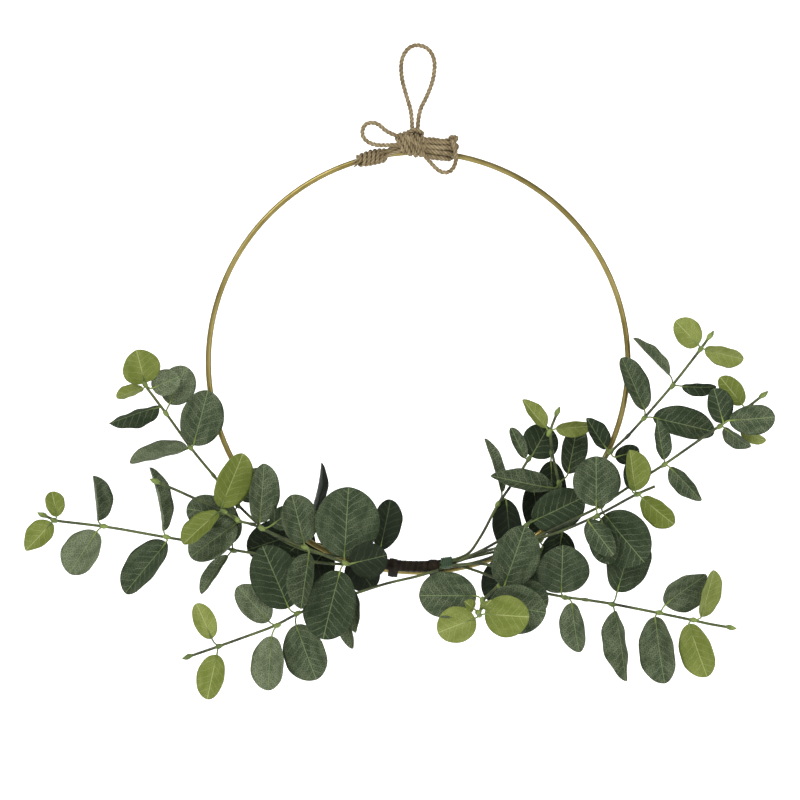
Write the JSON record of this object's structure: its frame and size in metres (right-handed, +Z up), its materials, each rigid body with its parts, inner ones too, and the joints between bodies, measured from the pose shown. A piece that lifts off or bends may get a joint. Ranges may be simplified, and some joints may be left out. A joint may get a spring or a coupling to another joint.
{
  "type": "decorated hoop wreath",
  "caption": "Round brass-finished wire hoop with artificial eucalyptus sprays bound to its lower edge and a knotted jute twine bow and loop to hang it by.",
  "frame": {"origin": "the nail point, inside the top of the hanging loop", "axes": "+Z up, +X to the right seen from the front, +Y back towards the wall"},
  "size_m": [0.5266, 0.0793, 0.4611],
  "materials": {
    "brass_hoop": "satin brass plating on steel wire",
    "brown_tape": "waxed dark brown crepe floral tape",
    "green_tie": "dark green moulded plastic",
    "stem_plastic": "moulded green plastic over wire",
    "collar_plastic": "moulded green plastic",
    "young_leaf": "printed yellow-green leaf fabric with pale veins",
    "grown_leaf": "printed dark grey-green leaf fabric with pale veins",
    "jute_twine": "rough three-ply jute twine"
  },
  "bodies": {
    "hanger": {"hanging_loop": "jute_twine"},
    "hoop": {"bow_knot": "jute_twine", "bow_loop_left": "jute_twine", "bow_loop_right": "jute_twine", "bundle_tape": "brown_tape", "end_knot": "jute_twine", "hoop": "brass_hoop", "left_back_leaves": "grown_leaf", "left_bound_stems": "stem_plastic", "left_bunch_collars": "collar_plastic", "left_bunch_leaves": "grown_leaf", "right_back_leaves": "grown_leaf", "right_bound_stems": "stem_plastic", "right_bunch_collars": "collar_plastic", "right_bunch_leaves": "grown_leaf", "right_front_leaves": "grown_leaf", "right_front_tips": "young_leaf", "right_inner_tips": "young_leaf", "right_middle_leaves": "grown_leaf", "right_middle_tips": "young_leaf", "stem_tie": "green_tie", "tape_band_left": "brown_tape", "tape_band_right": "brown_tape", "twine_wrap_left": "jute_twine", "twine_wrap_right": "jute_twine"},
    "left_upper_spray": {"left_upper_stem": "stem_plastic", "left_upper_collars": "collar_plastic", "left_upper_leaves": "grown_leaf", "left_upper_tips": "young_leaf"},
    "left_outer_spray": {"left_outer_stem": "stem_plastic", "left_outer_collars": "collar_plastic", "left_outer_leaves": "grown_leaf", "left_outer_tips": "young_leaf"},
    "left_front_spray": {"left_front_stem": "stem_plastic", "left_front_collars": "collar_plastic", "left_front_leaves": "grown_leaf", "left_front_tips": "young_leaf"},
    "left_lower_spray": {"left_lower_stem": "stem_plastic", "left_lower_collars": "collar_plastic", "left_lower_leaves": "grown_leaf", "left_lower_tips": "young_leaf"},
    "right_upper_spray": {"right_upper_stem": "stem_plastic", "right_upper_collars": "collar_plastic", "right_upper_leaves": "grown_leaf", "right_upper_tips": "young_leaf"},
    "right_outer_spray": {"right_outer_stem": "stem_plastic", "right_outer_collars": "collar_plastic", "right_outer_leaves": "grown_leaf", "right_outer_tips": "young_leaf"},
    "right_lower_spray": {"right_lower_stem": "stem_plastic", "right_lower_collars": "collar_plastic", "right_lower_leaves": "grown_leaf", "right_lower_tips": "young_leaf"}
  },
  "joints": [
    {"name": "hanger_bend", "type": "hinge", "parent": "hanger", "child": "hoop", "pos_m": [-0.0023, 0, -0.0565], "axis": [1, 0, 0], "range_deg": [-90, 90]},
    {"name": "left_upper_bend", "type": "hinge", "parent": "hoop", "child": "left_upper_spray", "pos_m": [-0.14387, -0.0056, -0.30111], "axis": [0, 1, 0], "range_deg": [-10, 10]},
    {"name": "left_outer_bend", "type": "hinge", "parent": "hoop", "child": "left_outer_spray", "pos_m": [-0.14887, -0.0046, -0.34911], "axis": [0, 1, 0], "range_deg": [-10, 10]},
    {"name": "left_front_bend", "type": "hinge", "parent": "hoop", "child": "left_front_spray", "pos_m": [-0.11587, -0.0171, -0.33511], "axis": [0, 1, 0], "range_deg": [-10, 10]},
    {"name": "left_lower_bend", "type": "hinge", "parent": "hoop", "child": "left_lower_spray", "pos_m": [-0.06587, -0.0051, -0.39111], "axis": [0, 1, 0], "range_deg": [-10, 10]},
    {"name": "right_upper_bend", "type": "hinge", "parent": "hoop", "child": "right_upper_spray", "pos_m": [0.14737, -0.0036, -0.2735], "axis": [0, 1, 0], "range_deg": [-10, 10]},
    {"name": "right_outer_bend", "type": "hinge", "parent": "hoop", "child": "right_outer_spray", "pos_m": [0.15637, -0.0106, -0.3035], "axis": [0, 1, 0], "range_deg": [-10, 10]},
    {"name": "right_lower_bend", "type": "hinge", "parent": "hoop", "child": "right_lower_spray", "pos_m": [0.11737, -0.0056, -0.3885], "axis": [0, 1, 0], "range_deg": [-10, 10]}
  ]
}
